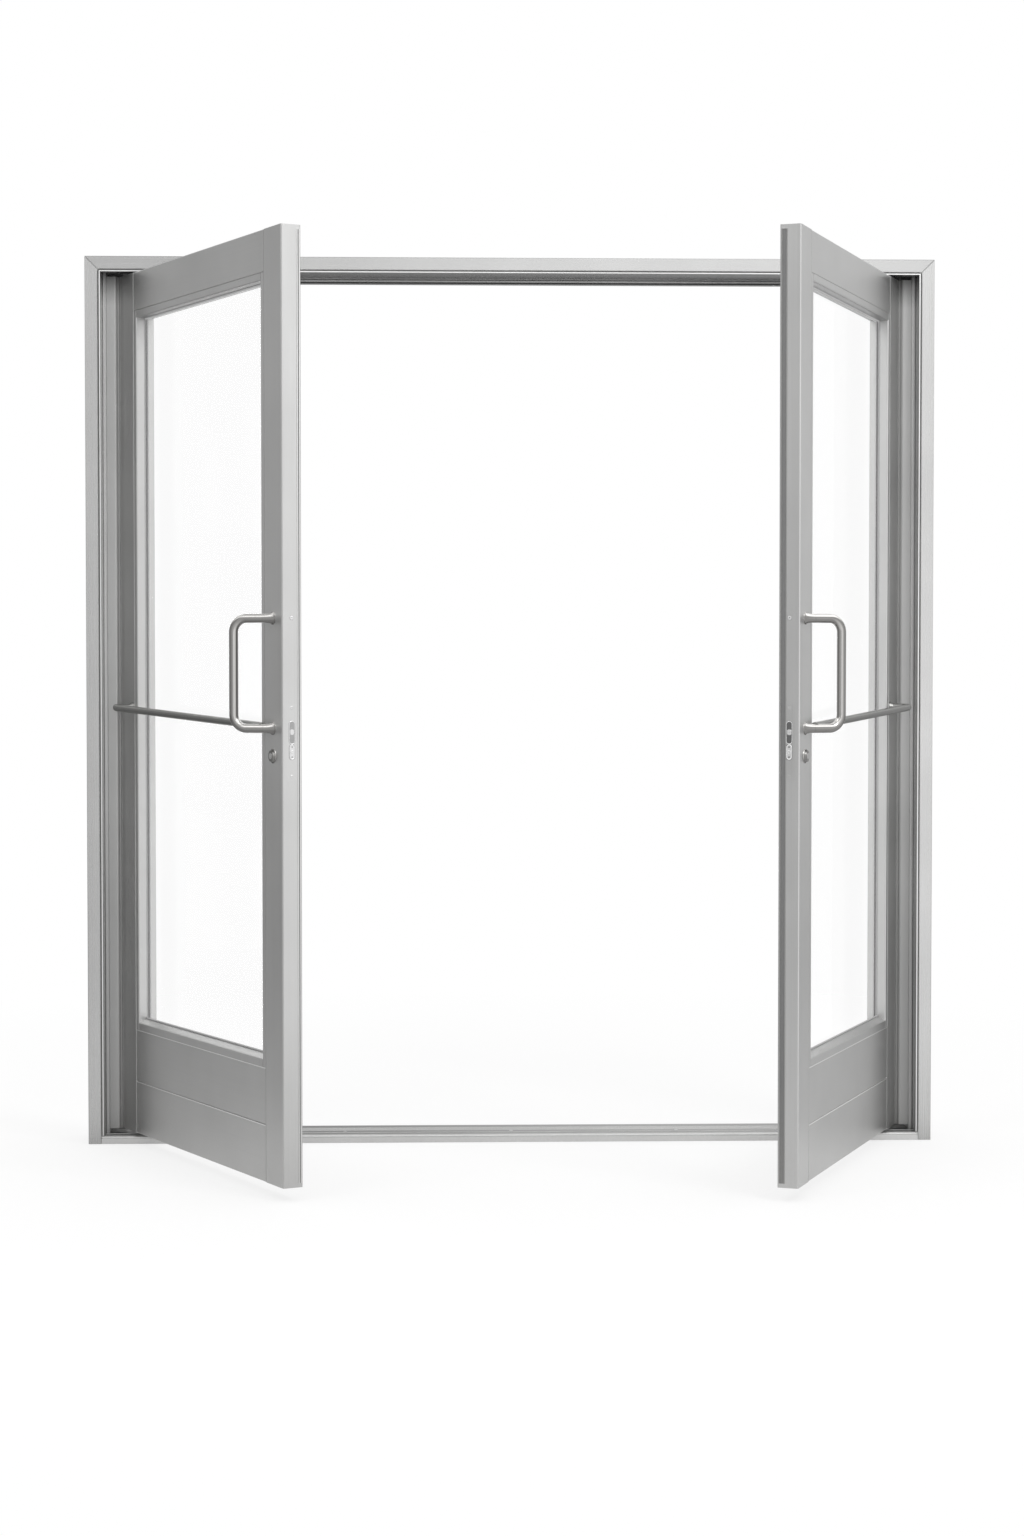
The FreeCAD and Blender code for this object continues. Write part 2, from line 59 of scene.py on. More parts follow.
# Turns leaf points (x, y, z in mm) by the opening angle about the pin and moves them to the pin;
# for the right leaf x is mirrored afterwards
def placeOnLeaf(points, side):
    angle = math.radians(-openDegrees[side])
    x, y, z = np.moveaxis(np.asarray(points, float), -1, 0)
    turnedX = leaf["pinX"] + x * math.cos(angle) - y * math.sin(angle)
    turnedY = leaf["pinY"] + x * math.sin(angle) + y * math.cos(angle)
    return np.stack([turnedX if side == "left" else -turnedX, turnedY, z], axis=-1) / 1000.0


def meshPiece(name, points, faces, body, material, smooth=40.0):
    mesh = bpy.data.meshes.new(name)
    mesh.from_pydata(np.asarray(points, float).reshape(-1, 3).tolist(), [], faces)
    mesh.validate()
    mesh.update()
    piece = bpy.data.objects.new(name, mesh)
    bpy.context.scene.collection.objects.link(piece)
    if smooth:
        mesh.shade_smooth()
        mesh.set_sharp_from_angle(angle=math.radians(smooth))
    mesh.materials.append(material)
    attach(piece, body)
    return piece


# Quads of a grid of rows by columns; columns join up round the piece, the first and last rows
# are closed with one face each when capped
def tubeFaces(rows, columns, start=0, capped=True, flip=False):
    r, c = np.meshgrid(np.arange(rows - 1), np.arange(columns), indexing="ij")
    following = (c + 1) % columns
    quads = np.stack([r * columns + c, r * columns + following,
                      (r + 1) * columns + following, (r + 1) * columns + c], axis=-1).reshape(-1, 4)
    if flip:
        quads = quads[:, ::-1]
    faces = (quads + start).tolist()
    if capped:
        first = (np.arange(columns) + start).tolist()
        last = (np.arange(columns) + start + (rows - 1) * columns).tolist()
        faces += [first if flip else first[::-1], last[::-1] if flip else last]
    return faces


# Several closed tubes in one mesh; each part is an array of rows by columns by 3
def tubePiece(name, parts, body, material, side=None, smooth=40.0):
    points, faces, start = [], [], 0
    for part in parts:
        placed = placeOnLeaf(part, side) if side else np.asarray(part, float) / 1000.0
        rows, columns = placed.shape[:2]
        points.append(placed.reshape(-1, 3))
        faces += tubeFaces(rows, columns, start, True, side == "right")
        start += rows * columns
    return meshPiece(name, np.concatenate(points), faces, body, material, smooth)


# A turned piece: circles of the profile's radii at its distances along a heading
def turned(profile, base, heading, columns=40, out=(0.0, 0.0, 1.0)):
    heading = np.asarray(heading, float) / np.linalg.norm(heading)
    first = np.asarray(out, float) - heading * np.dot(out, heading)
    first /= np.linalg.norm(first)
    second = np.cross(heading, first)
    angle = np.linspace(0.0, 2.0 * math.pi, columns, endpoint=False)[None, :, None]
    along = np.array([p[0] for p in profile])[:, None, None]
    radius = np.array([p[1] for p in profile])[:, None, None]
    ring = np.cos(angle) * first + np.sin(angle) * second
    return np.asarray(base, float) + along * heading + radius * ring


# A path of straight runs with an arc of one radius at each inner corner: the arc's points are
# corner centre + radius (cos, sin) between the two runs
def arcPath(corners, bend, steps):
    corners = np.asarray(corners, float)
    pieces = [corners[:1]]
    for before, corner, after in zip(corners[:-2], corners[1:-1], corners[2:]):
        toBefore = (before - corner) / np.linalg.norm(before - corner)
        toAfter = (after - corner) / np.linalg.norm(after - corner)
        half = math.acos(float(np.dot(toBefore, toAfter))) / 2.0
        middle = (toBefore + toAfter) / np.linalg.norm(toBefore + toAfter)
        centre = corner + middle * bend / math.sin(half)
        spread = math.pi / 2.0 - half
        angle = np.linspace(-spread, spread, steps)[:, None]
        sideways = (toAfter - toBefore) / np.linalg.norm(toAfter - toBefore)
        pieces.append(centre + bend * (-np.cos(angle) * middle + np.sin(angle) * sideways))
    pieces.append(corners[-1:])
    return np.concatenate(pieces)


# A round rod along a path that lies in one plane: at each point, path + radius (cos a * across +
# sin a * level), with level square to the plane and across in it
def rodAlong(path, radius, level, columns=36):
    tangent = np.gradient(path, axis=0)
    tangent /= np.linalg.norm(tangent, axis=1)[:, None]
    level = np.asarray(level, float) / np.linalg.norm(level)
    across = np.cross(level, tangent)
    across /= np.linalg.norm(across, axis=1)[:, None]
    angle = np.linspace(0.0, 2.0 * math.pi, columns, endpoint=False)[None, :, None]
    radius = np.broadcast_to(np.asarray(radius, float), (len(path),))[:, None, None]
    return path[:, None, :] + radius * (np.cos(angle) * across[:, None, :] + np.sin(angle) * level)


# Node groups shared by the materials

def newGroup(name, inputs, outputs):
    group = bpy.data.node_groups.new(name, "ShaderNodeTree")
    for label, kind, default in inputs:
        socket = group.interface.new_socket(label, in_out="INPUT", socket_type=kind)
        if default is not None:
            socket.default_value = default
    for label, kind in outputs:
        group.interface.new_socket(label, in_out="OUTPUT", socket_type=kind)
    return group, group.nodes.new("NodeGroupInput"), group.nodes.new("NodeGroupOutput")


def addNode(tree, kind, settings=None, **sockets):
    node = tree.nodes.new(kind)
    for key, value in (settings or {}).items():
        setattr(node, key, value)
    for key, value in sockets.items():
        socket = node.inputs[int(key[1:])] if key[1:].isdigit() else node.inputs[key.replace("_", " ")]
        if isinstance(value, bpy.types.NodeSocket):
            tree.links.new(value, socket)
        else:
            socket.default_value = value
    return node


# Each of these adds one node and gives the socket that holds its result
def maths(tree, operation, first, second=None, clamp=False):
    values = {"s0": first} if second is None else {"s0": first, "s1": second}
    return addNode(tree, "ShaderNodeMath", {"operation": operation, "use_clamp": clamp}, **values).outputs[0]


def ranged(tree, value, start, end, first=0.0, last=1.0):
    return addNode(tree, "ShaderNodeMapRange", Value=value, From_Min=start, From_Max=end, To_Min=first,
                   To_Max=last).outputs[0]


def mixValues(tree, share, first, second):
    return addNode(tree, "ShaderNodeMix", {"data_type": "FLOAT"}, s0=share, s2=first, s3=second).outputs[0]


def mixColours(tree, share, first, second, blend="MIX"):
    return addNode(tree, "ShaderNodeMix", {"data_type": "RGBA", "blend_type": blend}, s0=share, s6=first,
                   s7=second).outputs[2]


def dimmed(tree, shade, factor):
    return mixColours(tree, 1.0, shade, factor, "MULTIPLY")


def noise(tree, vector, scale, detail, roughness=0.5):
    return addNode(tree, "ShaderNodeTexNoise", Vector=vector, Scale=scale, Detail=detail,
                   Roughness=roughness).outputs[0]


def stretched(tree, vector, factors):
    return addNode(tree, "ShaderNodeVectorMath", {"operation": "MULTIPLY"}, s0=vector, s1=factors).outputs[0]


# The three axes of a vector, by name
def parted(tree, vector):
    return addNode(tree, "ShaderNodeSeparateXYZ", Vector=vector).outputs


def surfaceAxes(tree, label):
    return parted(tree, addNode(tree, "ShaderNodeNewGeometry").outputs[label])


# Long fine lines left by brushing before anodising: noise stretched along one direction,
# a fine and a coarse one added about a middle of 0.5
def makeBrushedGroup():
    group, given, result = newGroup(
        "brushedLines",
        [("Vector", "NodeSocketVector", None), ("Fine", "NodeSocketFloat", 1.0),
         ("Broad", "NodeSocketFloat", 0.4)],
        [("Lines", "NodeSocketFloat"), ("Height", "NodeSocketFloat")])
    fine = noise(group, given.outputs["Vector"], 1.0, 4.0, 0.65)
    coarser = addNode(group, "ShaderNodeVectorMath", {"operation": "SCALE"}, s0=given.outputs["Vector"],
                      Scale=0.17)
    broad = noise(group, coarser.outputs[0], 1.0, 2.0)
    shares = [maths(group, "MULTIPLY", maths(group, "SUBTRACT", value, 0.5), given.outputs[label])
              for value, label in ((fine, "Fine"), (broad, "Broad"))]
    lines = maths(group, "ADD", maths(group, "ADD", *shares), 0.5, True)
    group.links.new(lines, result.inputs["Lines"])
    group.links.new(fine, result.inputs["Height"])
    return group


# Soft clouding and a little dust that gathers low on the part: broad noise, and a falling ramp of
# height above the floor broken up by noise
def makeHandlingGroup():
    group, given, result = newGroup(
        "handlingAndDust",
        [("Vector", "NodeSocketVector", None), ("Cloud scale", "NodeSocketFloat", 3.0),
         ("Dust height", "NodeSocketFloat", 0.25)],
        [("Cloud", "NodeSocketFloat"), ("Dust", "NodeSocketFloat")])
    place = given.outputs["Vector"]
    cloud = noise(group, place, given.outputs["Cloud scale"], 3.0, 0.55)
    fall = maths(group, "DIVIDE", parted(group, place)["Z"], given.outputs["Dust height"])
    low = maths(group, "SUBTRACT", 1.0, fall, True)
    dust = maths(group, "MULTIPLY", low, noise(group, place, 160.0, 3.0, 0.7))
    group.links.new(cloud, result.inputs["Cloud"])
    group.links.new(dust, result.inputs["Dust"])
    return group


brushedLines = makeBrushedGroup()
handlingAndDust = makeHandlingGroup()


# Painted shade in the frame's inner corners: on faces that look sideways into the opening it fades from
# just behind the lip to the liner, and faces that look down keep most of it
cornerSettings = {"outer": 0.965, "lipY": -0.068, "linerY": -0.024, "under": 0.85, "sideways": 0.9,
                  "downSpan": (-0.95, -0.8)}


def addCornerShade(tree, shade, objectPlace, amount):
    s = cornerSettings
    normal = surfaceAxes(tree, "True Normal")
    spot = parted(tree, objectPlace)
    sideFace = maths(tree, "GREATER_THAN", maths(tree, "ABSOLUTE", normal["X"]), s["sideways"])
    inside = maths(tree, "LESS_THAN", maths(tree, "ABSOLUTE", spot["X"]), s["outer"])
    fade = ranged(tree, spot["Y"], s["lipY"], s["linerY"], 1.0, 0.0)
    sideShade = maths(tree, "MULTIPLY", maths(tree, "MULTIPLY", sideFace, inside), fade)
    under = ranged(tree, normal["Z"], *s["downSpan"], s["under"], 0.0)
    paintedShade = maths(tree, "MAXIMUM", sideShade, under)
    return dimmed(tree, shade, ranged(tree, paintedShade, 0.0, 1.0, 1.0, 1.0 - amount))


# Shade in the reveal behind the frame's front: deep just under the head, gentle towards the
# floor, and a little stronger on the right; each pair is (place, how much light is kept)
revealSettings = {"outer": 0.965, "fromY": -0.066, "top": ((1.95, 1.0), (2.012, 0.42)),
                  "low": ((0.25, 0.8), (1.1, 1.0)), "right": ((0.85, 1.0), (0.9, 0.92))}


def addRevealShade(tree, shade, objectPlace):
    s = revealSettings
    spot = parted(tree, objectPlace)
    between = maths(tree, "LESS_THAN", maths(tree, "ABSOLUTE", spot["X"]), s["outer"])
    behind = maths(tree, "GREATER_THAN", spot["Y"], s["fromY"])
    product = 1.0
    for axis, key in (("Z", "top"), ("Z", "low"), ("X", "right")):
        (start, first), (end, last) = s[key]
        product = maths(tree, "MULTIPLY", ranged(tree, spot[axis], start, end, first, last), product)
    kept = mixValues(tree, maths(tree, "MULTIPLY", between, behind), 1.0, product)
    return dimmed(tree, shade, kept)


# A new material with its tree, its shader and the object coordinates
def newMaterial(name):
    material = bpy.data.materials.new(name)
    material.use_nodes = True
    tree = material.node_tree
    place = addNode(tree, "ShaderNodeTexCoord").outputs["Object"]
    return material, tree, tree.nodes["Principled BSDF"], place


def connect(tree, node, sockets):
    for label, socket in sockets.items():
        tree.links.new(socket, node.inputs[label])


# Brushed metal: grain is how far the lines are stretched per axis, turn the angle of an opened
# leaf's rails, rim how much painted shade darkens a round bar over rimSpan as it turns from the view,
# topHighlightLift how bright the painted highlight on its upper side is, topDarkening how much the
# faces that look up are darkened, corner how much painted shade dulls the reveal behind the lip,
# under how much painted shade darkens the faces that look down, reveal whether the painted shade
# of the frame's reveal is laid over it
metalLook = {"cloudSpan": (0.3, 0.7), "dustShare": 0.25, "dustTone": (0.42, 0.41, 0.39, 1.0),
             "lineSpan": (0.2, 0.8), "smoother": 0.05, "rougher": 0.06, "reliefDepth": 0.0003,
             "downSpan": (-0.8, -0.95), "upSpan": (0.85, 0.98), "topHighlightSpan": (0.2, 0.5)}


def makeMetal(name, tone, lineShare, roughness, metallic, grain, turn=0.0, bump=0.12, cloudShare=0.05,
              rim=0.0, rimSpan=(0.12, 0.75), topHighlightLift=1.0, topDarkening=0.0, corner=0.0,
              under=0.0, reveal=False):
    look = metalLook
    material, tree, shader, place = newMaterial(name)
    aligned = addNode(tree, "ShaderNodeMapping", {"vector_type": "TEXTURE"}, Vector=place,
                      Rotation=(0.0, 0.0, turn))
    lines = addNode(tree, "ShaderNodeGroup", {"node_tree": brushedLines},
                    Vector=stretched(tree, aligned.outputs[0], grain)).outputs
    handling = addNode(tree, "ShaderNodeGroup", {"node_tree": handlingAndDust}, Vector=place).outputs
    light = [min(1.0, c * (1.0 + lineShare)) for c in tone] + [1.0]
    dark = [c * (1.0 - lineShare) for c in tone] + [1.0]
    streaked = mixColours(tree, lines["Lines"], dark, light)
    clouds = ranged(tree, handling["Cloud"], *look["cloudSpan"], 1.0 - cloudShare, 1.0 + cloudShare)
    dustShare = maths(tree, "MULTIPLY", handling["Dust"], look["dustShare"])
    shade = mixColours(tree, dustShare, dimmed(tree, streaked, clouds), look["dustTone"])
    rough = ranged(tree, lines["Lines"], *look["lineSpan"], roughness - look["smoother"],
                   roughness + look["rougher"])
    relief = addNode(tree, "ShaderNodeBump", Strength=bump, Distance=look["reliefDepth"],
                     Height=lines["Height"])
    # painted shade in the frame's inner corners and under the head
    if corner:
        shade = addCornerShade(tree, shade, place, corner)
    if reveal:
        shade = addRevealShade(tree, shade, place)
    # faces that look down get painted shade (under); faces that look up are darkened (topDarkening)
    if topDarkening or under:
        upward = surfaceAxes(tree, "True Normal")["Z"]
        span = look["downSpan"] if under else look["upSpan"]
        shade = dimmed(tree, shade, ranged(tree, upward, *span, 1.0, 1.0 - (under or topDarkening)))
    # painted shade on a round bar's rims as they turn from the view, and a painted highlight on its upper
    # side
    if rim:
        facing = addNode(tree, "ShaderNodeLayerWeight", Blend=0.5).outputs["Facing"]
        rimShade = ranged(tree, facing, *rimSpan, 1.0, 1.0 - rim)
        topHighlight = ranged(tree, surfaceAxes(tree, "Normal")["Z"], *look["topHighlightSpan"], 0.0, topHighlightLift)
        shade = dimmed(tree, shade, maths(tree, "MAXIMUM", rimShade, topHighlight))
    connect(tree, shader, {"Base Color": shade, "Roughness": rough, "Normal": relief.outputs[0]})
    shader.inputs["Metallic"].default_value = metallic
    return material


# Rubber and pile: dull, with a fine grain and ribs across the run
rubberLook = {"darker": 0.7, "lighter": 1.35, "dustShare": 0.5, "dustTone": (0.40, 0.39, 0.37, 1.0),
              "grainSpan": (0.3, 0.7), "roughSpread": 0.07, "reliefDepth": 0.0005}


def makeRubber(name, tone, roughness, grainScale, bump, ribs=None, ribShare=0.0):
    look = rubberLook
    material, tree, shader, place = newMaterial(name)
    grain = noise(tree, place, grainScale, 4.0, 0.6)
    handling = addNode(tree, "ShaderNodeGroup", {"node_tree": handlingAndDust}, Vector=place).outputs
    height = grain
    if ribs:
        height = mixValues(tree, ribShare, grain, noise(tree, stretched(tree, place, ribs), 1.0, 2.0))
    dark = [c * look["darker"] for c in tone] + [1.0]
    light = [min(1.0, c * look["lighter"]) for c in tone] + [1.0]
    dustShare = maths(tree, "MULTIPLY", handling["Dust"], look["dustShare"])
    shade = mixColours(tree, dustShare, mixColours(tree, height, dark, light), look["dustTone"])
    rough = ranged(tree, grain, *look["grainSpan"], roughness - look["roughSpread"],
                   roughness + look["roughSpread"])
    relief = addNode(tree, "ShaderNodeBump", Strength=bump, Distance=look["reliefDepth"], Height=height)
    connect(tree, shader, {"Base Color": shade, "Roughness": rough, "Normal": relief.outputs[0]})
    return material


# Clear sheet glass with faint smears in its gloss, and pale tape round its edge where the stops
# hold it: the tape begins where a point is further than a half size from the sheet's middle, and
# has a faint painted glow, standing in for light that travels inside the sheet and leaves at its edge
glassSettings = {"ior": 1.3, "alpha": 0.05, "tape": 0.0165, "tapeTone": 0.62, "tapeRoughness": 0.6,
                 "paintedEdgeGlow": 0.14, "smearSpan": (0.55, 0.8), "smearRoughness": 0.03,
                 "tints": ((0.99, 0.997, 0.993, 1.0), (0.997, 1.0, 0.998, 1.0))}


def makeGlass(side):
    s = glassSettings
    material, tree, shader, place = newMaterial(side + "ClearGlass")
    smear = noise(tree, place, 5.0, 5.0, 0.6)
    rough = ranged(tree, smear, *s["smearSpan"], 0.0, s["smearRoughness"])
    tint = mixColours(tree, smear, *s["tints"])
    low, high = (np.array(corner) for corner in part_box(side + "_glass"))
    middle = (low + high) / 2.0
    angle = math.radians(openDegrees[side])
    flip = 1.0 if side == "left" else -1.0
    along = (flip * math.cos(angle), -math.sin(angle), 0.0)
    fromMiddle = addNode(tree, "ShaderNodeVectorMath", {"operation": "SUBTRACT"}, s0=place,
                         s1=middle.tolist()).outputs[0]
    run = addNode(tree, "ShaderNodeVectorMath", {"operation": "DOT_PRODUCT"}, s0=fromMiddle, s1=along)
    halfRun = (high[1] - low[1]) / 2.0 / math.sin(angle)
    halfRise = (high[2] - low[2]) / 2.0
    masks = [maths(tree, "GREATER_THAN", maths(tree, "ABSOLUTE", value), half - s["tape"])
             for value, half in ((run.outputs["Value"], halfRun), (parted(tree, fromMiddle)["Z"], halfRise))]
    tape = maths(tree, "MAXIMUM", *masks)
    connect(tree, shader, {
        "Base Color": mixColours(tree, tape, tint, [s["tapeTone"]] * 3 + [1.0]),
        "Roughness": mixValues(tree, tape, rough, s["tapeRoughness"]),
        "Transmission Weight": maths(tree, "SUBTRACT", 1.0, tape),
        "Alpha": mixValues(tree, tape, s["alpha"], 1.0),
        "Emission Strength": maths(tree, "MULTIPLY", tape, s["paintedEdgeGlow"]),
    })
    shader.inputs["Emission Color"].default_value = (1.0, 1.0, 1.0, 1.0)
    shader.inputs["IOR"].default_value = s["ior"]
    return material


finish = {
    "jamb": (0.64, 0.64, 0.637), "head": (0.61, 0.61, 0.607), "leaf": (0.62, 0.62, 0.615),
    "hinge": (0.56, 0.56, 0.555), "threshold": (0.86, 0.86, 0.855), "steel": (0.61, 0.60, 0.585),
    "bar": (0.34, 0.34, 0.33), "cylinder": (0.26, 0.257, 0.25), "plate": (0.63, 0.63, 0.625),
    "rubber": (0.45, 0.45, 0.45), "seal": (0.06, 0.06, 0.06), "grooveShade": (0.16, 0.16, 0.16),
    "pile": (0.2, 0.2, 0.2), "litCarrier": (0.76, 0.76, 0.755), "shadedCarrier": (0.38, 0.38, 0.375),
    "lip": (0.95, 0.95, 0.945), "edge": {"left": 0.74, "right": 0.93}, "hollow": {"left": 0.4, "right": 0.17},
}
# How far the brushed lines are stretched: long in z, long in x, or alike on all axes
grainUpright, grainAcross, grainEven = (700.0, 700.0, 2.2), (2.2, 700.0, 700.0), (500.0, 500.0, 500.0)
railTurn = {"left": math.radians(-openDegrees["left"]), "right": math.radians(openDegrees["right"])}

# The frame's metals get painted shade in their inner corners; the uprights also the painted shade of the
# reveal
frameUpright = makeMetal("frameUpright", finish["jamb"], 0.05, 0.27, 0.9, grainUpright, corner=0.5,
                         reveal=True)
frameAcross = makeMetal("frameAcross", finish["head"], 0.05, 0.24, 0.9, grainAcross, corner=0.77)
leafUpright = makeMetal("leafUpright", finish["leaf"], 0.06, 0.34, 0.9, grainUpright)
leafAcross = {side: makeMetal(side + "LeafAcross", finish["leaf"], 0.06, 0.34, 0.9, grainAcross,
                              railTurn[side]) for side in sides}
# the glazing stops get painted shade on their faces that look down
stopMetal = makeMetal("stopMetal", finish["leaf"], 0.06, 0.34, 0.9, grainUpright, under=0.58)
hingeMetal = makeMetal("hingeMetal", finish["hinge"], 0.05, 0.42, 0.9, grainUpright, reveal=True)
# its faces that look up are darkened
thresholdMetal = makeMetal("thresholdMetal", finish["threshold"], 0.07, 0.36, 0.95, grainAcross, topDarkening=0.68)
# The pull and the bar carry painted rim shade, the pull also a painted highlight on its upper side
pullSteel = makeMetal("pullSteel", finish["steel"], 0.05, 0.16, 1.0, grainEven, bump=0.03, cloudShare=0.03,
                      rim=0.6, rimSpan=(0.01, 0.17), topHighlightLift=1.3)
barSteel = makeMetal("barSteel", finish["bar"], 0.05, 0.30, 1.0, grainEven, bump=0.04, rim=0.42)
cylinderSteel = makeMetal("cylinderSteel", finish["cylinder"], 0.05, 0.28, 1.0, grainEven, bump=0.04)
plateSteel = makeMetal("plateSteel", finish["plate"], 0.05, 0.30, 1.0, grainUpright, bump=0.08)
# The lock edge's fittings: their steel is a lit copy per leaf, lighter on the right; the hollows are dark
# sheets of painted shade, darker on the right
edgeSteelLitPerLeaf = {side: makeMetal(side + "EdgeSteelLitPerLeaf", [tone] * 3, 0.04, 0.26, 1.0, grainEven, bump=0.03)
             for side, tone in finish["edge"].items()}
hollowShadeSteel = {side: makeMetal(side + "HollowShadeSteel", [tone] * 3, 0.08, 0.5, 0.8, grainEven)
               for side, tone in finish["hollow"].items()}
gasketRubber = makeRubber("gasketRubber", finish["rubber"], 0.62, 420.0, 0.15)
sealRubber = makeRubber("sealRubber", finish["seal"], 0.7, 420.0, 0.15)
# dark rubber as painted shade in the frame's groove
grooveShadeRubber = makeRubber("grooveShadeRubber", finish["grooveShade"], 0.7, 420.0, 0.15)
pileFibre = makeRubber("pileFibre", finish["pile"], 0.9, 900.0, 0.6, (1500.0, 1500.0, 60.0), 0.6)
# The meeting strips' carriers are lit and shaded copies of one aluminium: pale on the left leaf, dark on the
# right
carrierLitAndShaded = {side: makeMetal(shade, finish[shade], 0.05, 0.4, 0.9, grainUpright)
                for side, shade in (("left", "litCarrier"), ("right", "shadedCarrier"))}
# pale metal for painted highlights on the frame's lip and along the leaf's seams
lipMetal = makeMetal("lipMetal", finish["lip"], 0.03, 0.4, 0.9, grainUpright)
clearGlass = {side: makeGlass(side) for side in sides}
print("materials made")


# The first of these words found in a node's name gives its material, by side where sides differ
nodeMaterials = (
    ("_glass", clearGlass), ("seal", sealRubber), ("gaskets", gasketRubber), ("hinge_barrel", hingeMetal),
    ("hinge_shaft", hingeMetal), ("pull_handle", pullSteel), ("cylinder", cylinderSteel),
    ("push_bar", barSteel), ("face_plate", plateSteel), ("meeting_strip", pileFibre),
    ("threshold", thresholdMetal), ("rail", leafAcross), ("glazing_stops", stopMetal),
    ("stile", leafUpright), ("head", frameAcross), ("", frameUpright))


def nodeMaterial(name):
    found = next(material for word, material in nodeMaterials if word in name)
    return found[name.split("_")[0]] if isinstance(found, dict) else found


for name, node in nodes.items():
    node.data.materials.clear()
    node.data.materials.append(nodeMaterial(name))
print("frame nodes finished")


# Pull handles: two legs at 45 degrees to the face and an upright grip, with flared feet
pullSettings = {"radius": 9.5, "centres": 228.6, "base": 981.0, "backset": 46.0, "reach": 61.5, "bend": 29.0,
                "bendSteps": 20, "rodStart": 0.9, "footRadius": 13.4, "footRim": 1.4, "footLength": 20.0,
                "footRows": 14, "easing": 2.6, "softShare": 0.94, "softRise": 0.5, "columns": 48}
pullX = leaf["lockEdge"] - pullSettings["backset"]


# A foot runs from a circle lying on the leaf's face to the rod's own circle: the two are mixed
# with the weight 1 - (1 - t)^easing, so the side of the foot is hollow like a trumpet
def flaredFoot(base, heading):
    s = pullSettings
    upward = np.array([0.0, 0.0, 1.0])
    angle = np.linspace(0.0, 2.0 * math.pi, s["columns"], endpoint=False)[:, None]
    across = np.cross(upward, heading)
    across *= math.copysign(1.0, across[0])
    onFace = s["footRadius"] * (np.cos(angle) * np.array([1.0, 0.0, 0.0]) + np.sin(angle) * upward)
    onRod = s["radius"] * (np.cos(angle) * across + np.sin(angle) * upward)
    lifted = onFace + np.array([0.0, -s["footRim"], 0.0])
    softened = onFace * s["softShare"] + np.array([0.0, -s["footRim"] - s["softRise"], 0.0])
    t = np.linspace(0.0, 1.0, s["footRows"])[:, None, None]
    weight = 1.0 - (1.0 - t) ** s["easing"]
    towards = softened * (1.0 - weight) + (onRod + heading * s["footLength"] * t) * weight
    return base + np.concatenate([onFace[None], lifted[None], towards])


def makePull(side):
    s = pullSettings
    foot = np.array([pullX, leaf["front"], s["base"]])
    crown = foot + np.array([0.0, 0.0, s["centres"]])
    out = np.array([-s["reach"], -s["reach"], 0.0])
    heading = out / np.linalg.norm(out)
    start = heading * s["footLength"] * s["rodStart"]
    path = arcPath([foot + start, foot + out, crown + out, crown + start], s["bend"], s["bendSteps"])
    rod = rodAlong(path, s["radius"], (1.0, -1.0, 0.0), s["columns"])
    # the foot's rows turn the other way round than the rod's
    feet = [flaredFoot(end, heading)[:, ::-1] for end in (foot, crown)]
    piece = tubePiece(side + "Pull", [rod] + feet, side + "_leaf", pullSteel, side, 50.0)
    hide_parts(side + "_pull_handle")


for side in sides:
    makePull(side)
print("pulls made")


# Lock cylinders: a plug with a keyway inside the collar, on both faces of the leaf
plugSettings = {"height": 924.0, "stand": 6.0, "plugRadius": 6.4, "plugRise": 0.9, "keyHalfWidth": 1.1,
                "keyHalfHeight": 4.2, "keyDepth": 0.75, "keyPowers": (0.4, 0.8), "columns": 48}


# Rows go from the plug's foot, over its rim, across its face to the keyway's outline, and down the
# keyway's wall; the outline is a rounded slot, half widths times cos and sin to a power
def makePlug(side, facing):
    s = plugSettings
    outward = -1.0 if facing == "outer" else 1.0
    face = leaf["front"] if facing == "outer" else leaf["back"]
    angle = np.linspace(0.0, 2.0 * math.pi, s["columns"], endpoint=False)
    circle = np.stack([np.cos(angle), np.sin(angle)], axis=-1)
    slot = np.sign(circle) * np.abs(circle) ** s["keyPowers"] * (s["keyHalfWidth"], s["keyHalfHeight"])
    r, rise = s["plugRadius"], s["plugRise"]
    rows = [(circle * r, -0.2), (circle * r, rise - 0.3), (circle * (r - 0.3), rise),
            (slot * 1.08, rise), (slot, rise - 0.1), (slot, rise - s["keyDepth"])]
    part = np.stack([np.stack([pullX + xz[:, 0], np.full(len(xz), face + outward * (s["stand"] + up)),
                               s["height"] + xz[:, 1]], axis=-1) for xz, up in rows])
    if facing == "inner":
        part = part[:, ::-1]
    name = side + facing.capitalize() + "Plug"
    tubePiece(name, [part], side + "_leaf", plateSteel, side, 35.0)


for side in sides:
    for facing in ("outer", "inner"):
        makePlug(side, facing)
print("lock plugs made")


# Flat-head screws with a cross recess, turned caps and rings, and what shows in the leaf's edge:
# bolt, latch and oval are (half width, half height, corner radius), boltDepth how far the bolt and
# the latch start below the edge
fittingSettings = {"edgeY": 33.2, "screwRise": 0.5, "screwColumns": 32, "capRadius": 9.0, "capRise": 3.6,
                   "capColumns": 36, "collarColumns": 56, "barBase": (76.5, 1017.0),
                   "rimCentre": 973.0, "rimHalfHeight": 24.0, "slotCentre": 980.0,
                   "slotHalfHeight": 17.0, "slotHalfWidth": 5.5, "boltCentre": 974.0,
                   "bolt": (4.6, 6.0, 3.4), "latchCentre": 988.0, "latch": (4.2, 6.0, 4.1), "boltDepth": 2.0,
                   "ovalCentre": 933.0, "oval": (6.3, 16.0, 6.2), "ovalHoles": 10.4, "hole": (1.7, 1.7, 1.6),
                   "ovalScrew": 3.8, "upperScrewCentre": 1209.6, "upperScrew": 4.2,
                   "upperHollow": (4.8, 4.8, 4.7), "plateCentre": 953.0, "plateScrews": 71.0,
                   "plateScrew": 3.6}
edgeAcross, edgeUp = (0.0, 1.0, 0.0), (0.0, 0.0, 1.0)
faceAcross = (1.0, 0.0, 0.0)


